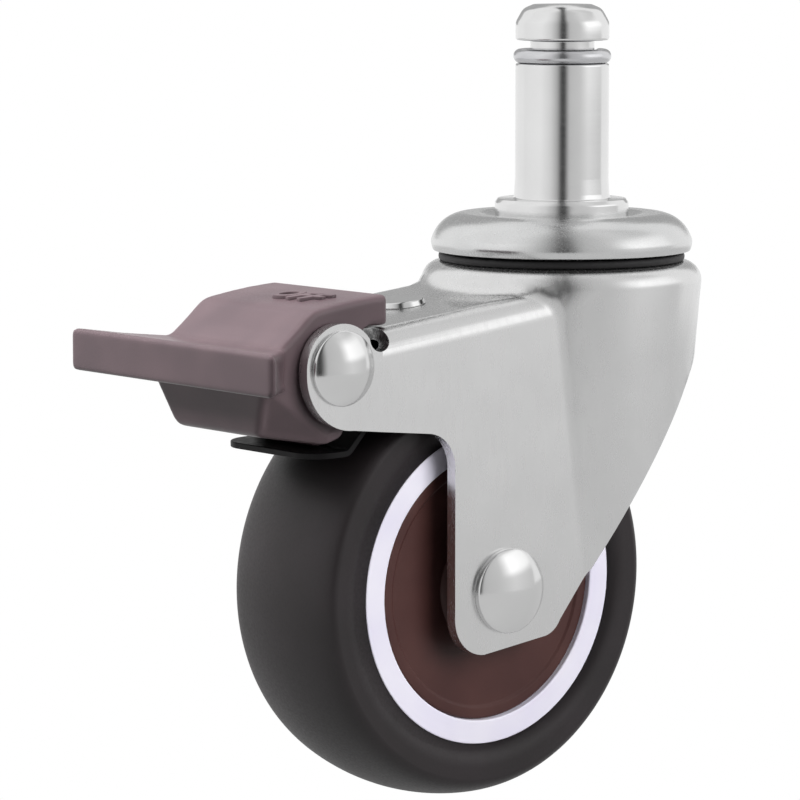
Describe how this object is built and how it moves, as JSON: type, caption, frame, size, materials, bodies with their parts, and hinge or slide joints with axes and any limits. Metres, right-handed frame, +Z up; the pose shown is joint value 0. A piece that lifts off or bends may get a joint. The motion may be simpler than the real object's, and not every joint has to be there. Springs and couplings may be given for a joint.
{
  "type": "swivel castor",
  "caption": "Swivel castor with a grip-ring stem, pressed steel fork, soft-tread wheel and a foot pedal that presses a spring leaf onto the tread.",
  "frame": {"origin": "on the stem's axis at the collar's top face, where the plain stem starts", "axes": "+Z up along the stem; the wheel trails and the brake pedal points to -X; the axle lies along Y"},
  "size_m": [0.0738, 0.0372, 0.091],
  "materials": {
    "stem_steel": "bright zinc plated, turned",
    "spring_steel": "drawn spring wire",
    "cap_steel": "bright zinc plated, pressed",
    "seal_plastic": "moulded, matt",
    "ball_steel": "polished",
    "fork_steel": "zinc plated, pressed, satin",
    "rivet_steel": "zinc plated, formed",
    "bearing_steel": "ground",
    "tread_rubber": "soft polyurethane, matt",
    "core_plastic": "moulded, satin",
    "cover_plastic": "moulded, fine matt",
    "lever_plastic": "moulded, fine grain",
    "leaf_steel": "blackened spring steel"
  },
  "bodies": {
    "stem_body": {"grip_ring_stem": "stem_steel", "grip_ring": "spring_steel", "race_cap": "cap_steel", "lower_race_cup": "cap_steel"},
    "fork_body": {"fork": "fork_steel", "dust_seal": "seal_plastic", "upper_race_balls": "ball_steel", "lower_race_balls": "ball_steel", "axle_rivet": "rivet_steel", "lever_pivot_rivet": "rivet_steel", "leaf_rivet": "rivet_steel", "axle_sleeve": "rivet_steel", "axle_spacer_near": "rivet_steel", "axle_spacer_far": "rivet_steel", "bearing_inner_near": "bearing_steel", "bearing_inner_far": "bearing_steel", "bearing_balls_near": "ball_steel", "bearing_balls_far": "ball_steel"},
    "wheel_body": {"tyre": "tread_rubber", "wheel_core": "core_plastic", "hub_cover_near": "cover_plastic", "hub_cover_far": "cover_plastic", "bearing_outer_near": "bearing_steel", "bearing_outer_far": "bearing_steel"},
    "lever_body": {"brake_lever": "lever_plastic"},
    "leaf_body": {"brake_leaf": "leaf_steel"}
  },
  "joints": [
    {"name": "swivel", "type": "hinge", "parent": "stem_body", "child": "fork_body", "pos_m": [0, 0, 0], "axis": [0, 0, 1], "continuous": true},
    {"name": "wheel_spin", "type": "hinge", "parent": "fork_body", "child": "wheel_body", "pos_m": [-0.0186, 0, -0.0433], "axis": [0, 1, 0], "continuous": true},
    {"name": "pedal_press", "type": "hinge", "parent": "fork_body", "child": "lever_body", "pos_m": [-0.0426, 0, -0.0162], "axis": [0, -1, 0], "range_deg": [0, 22]},
    {"name": "leaf_flex", "type": "hinge", "parent": "fork_body", "child": "leaf_body", "pos_m": [-0.0215, 0, -0.0122], "axis": [0, -1, 0], "range_deg": [0, 3]}
  ],
  "couplings": [
    {"joint": "leaf_flex", "follows": "pedal_press", "ratio": 0.1345}
  ]
}
